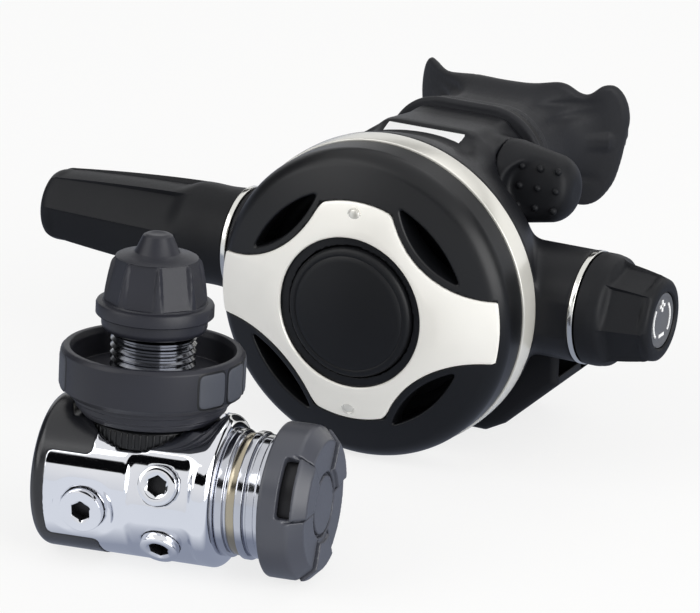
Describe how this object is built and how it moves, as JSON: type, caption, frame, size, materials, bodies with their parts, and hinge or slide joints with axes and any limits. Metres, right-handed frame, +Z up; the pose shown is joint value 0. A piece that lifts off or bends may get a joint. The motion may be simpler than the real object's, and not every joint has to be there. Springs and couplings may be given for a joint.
{
  "type": "scuba regulator set",
  "caption": "DIN diaphragm first stage and round adjustable second stage for scuba diving, with purge button, knob, lever and mouthpiece, laid out side by side without their hose.",
  "frame": {"origin": "bottom centre of the whole set's box, on the surface that both stages lie on", "axes": "+Z up; the second stage's cross tube lies along X with the knob at +X; its cover faces -Y and its mouthpiece +Y; the first stage stands in front, towards -Y"},
  "size_m": [0.196, 0.2362, 0.091],
  "materials": {
    "case_nylon": "fine moulded grain",
    "cover_plastic": "satin moulded",
    "button_plastic": "satin moulded",
    "polished_steel": "polished",
    "chromed_brass": "mirror chrome",
    "brass": "machined",
    "bronze": "machined",
    "spring_steel": "drawn wire",
    "knob_rubber": "soft-touch",
    "sleeve_rubber": "soft-touch",
    "mouth_silicone": "matte silicone",
    "seal_rubber": "smooth",
    "diaphragm_silicone": "smooth",
    "seat_polymer": "smooth",
    "vane_plastic": "smooth",
    "label_film": "printed film",
    "knob_badge": "satin",
    "endcap_rubber": "satin",
    "cap_anodised": "satin black",
    "wheel_nylon": "satin moulded",
    "grip_rubber": "matte",
    "shield_plastic": "satin moulded"
  },
  "bodies": {
    "second_stage": {"case": "case_nylon", "cover_ring": "polished_steel", "front_cover": "cover_plastic", "cover_plate": "polished_steel", "plate_screws": "polished_steel", "slip_ring": "button_plastic", "diaphragm": "diaphragm_silicone", "valve_barrel": "chromed_brass", "orifice": "brass", "lever_pin": "spring_steel", "inlet_fitting": "chromed_brass", "inlet_ring": "polished_steel", "knob_ring": "polished_steel", "hose_sleeve": "sleeve_rubber", "label_plate": "label_film", "exhaust_valve": "diaphragm_silicone", "exhaust_tee": "sleeve_rubber", "mouthpiece": "mouth_silicone", "mouthpiece_clamp": "button_plastic", "purge_spring": "spring_steel", "poppet_spring": "spring_steel"},
    "purge_button": {"purge_button": "button_plastic"},
    "diaphragm_disc": {"diaphragm_disc": "polished_steel"},
    "demand_lever": {"demand_lever": "polished_steel"},
    "poppet": {"poppet": "seat_polymer"},
    "adjust_knob": {"adjust_knob": "knob_rubber", "knob_disc": "knob_badge"},
    "adjust_spindle": {"adjust_spindle": "brass", "spindle_o_ring": "seal_rubber"},
    "dive_lever": {"dive_lever": "knob_rubber", "airway_vane": "vane_plastic"},
    "first_stage": {"first_stage_body": "chromed_brass", "end_cover": "endcap_rubber", "low_plugs": "chromed_brass", "high_plugs": "chromed_brass", "port_o_rings": "seal_rubber", "din_stud": "chromed_brass", "din_filter": "bronze", "din_o_ring": "seal_rubber", "base_ring": "wheel_nylon", "seat_crown": "brass", "balance_plug": "brass", "main_diaphragm": "diaphragm_silicone", "neck_ring": "chromed_brass", "main_spring": "spring_steel", "spring_adjuster": "brass", "dry_diaphragm": "diaphragm_silicone", "end_cap": "cap_anodised", "cap_insert": "chromed_brass", "seat_poppet_spring": "spring_steel"},
    "handwheel": {"handwheel": "wheel_nylon", "wheel_grips": "grip_rubber", "din_thread": "chromed_brass"},
    "protector_cap": {"protector_cap": "shield_plastic"},
    "lifter_pad": {"lifter_pad": "polished_steel"},
    "seat_poppet": {"seat_poppet": "seat_polymer"}
  },
  "joints": [
    {"name": "purge_press", "type": "slide", "parent": "second_stage", "child": "purge_button", "axis": [0, 1, 0], "range_m": [0, 0.004], "stiffness_N_per_m": 400, "springref_m": -0.002, "deforming": ["purge_spring"]},
    {"name": "disc_press", "type": "slide", "parent": "second_stage", "child": "diaphragm_disc", "axis": [0, 1, 0], "range_m": [0, 0.004], "deforming": ["diaphragm"]},
    {"name": "lever_swing", "type": "hinge", "parent": "second_stage", "child": "demand_lever", "pos_m": [0.02835, 0.02047, 0.0455], "axis": [0, 0, 1], "range_deg": [-11, 0]},
    {"name": "poppet_open", "type": "slide", "parent": "second_stage", "child": "poppet", "axis": [1, 0, 0], "range_m": [0, 0.0012], "deforming": ["poppet_spring"]},
    {"name": "knob_turn", "type": "hinge", "parent": "second_stage", "child": "adjust_knob", "pos_m": [0.08635, 0.03107, 0.0455], "axis": [-1, 0, 0], "range_deg": [0, 720]},
    {"name": "spindle_feed", "type": "slide", "parent": "second_stage", "child": "adjust_spindle", "axis": [-1, 0, 0], "range_m": [0, 0.002]},
    {"name": "lever_turn", "type": "hinge", "parent": "second_stage", "child": "dive_lever", "pos_m": [0.05435, 0.04707, 0.0725], "axis": [1, 0, 0], "range_deg": [0, 75]},
    {"name": "first_stage_apart", "type": "slide", "parent": "second_stage", "child": "first_stage", "axis": [-1, 0, 0], "range_m": [0, 0.1]},
    {"name": "wheel_spin", "type": "hinge", "parent": "first_stage", "child": "handwheel", "pos_m": [0.0035, -0.09109, 0.05172], "axis": [-0.0114, 0.0688, 0.9976], "continuous": true},
    {"name": "cap_pull", "type": "slide", "parent": "handwheel", "child": "protector_cap", "axis": [-0.0114, 0.0688, 0.9976], "range_m": [0, 0.03]},
    {"name": "lifter_push", "type": "slide", "parent": "first_stage", "child": "lifter_pad", "axis": [-0.9866, -0.1633, 0], "range_m": [0, 0.0008], "deforming": ["main_spring", "main_diaphragm"]},
    {"name": "seat_poppet_open", "type": "slide", "parent": "first_stage", "child": "seat_poppet", "axis": [-0.9866, -0.1633, 0], "range_m": [0, 0.0008], "deforming": ["seat_poppet_spring"]}
  ],
  "couplings": [
    {"joint": "disc_press", "follows": "purge_press", "ratio": 1},
    {"joint": "lever_swing", "follows": "purge_press", "rad_per_m": -45.45},
    {"joint": "poppet_open", "follows": "purge_press", "ratio": 0.3},
    {"joint": "spindle_feed", "follows": "knob_turn", "m_per_rad": 0.00015915},
    {"joint": "seat_poppet_open", "follows": "lifter_push", "ratio": 1}
  ]
}
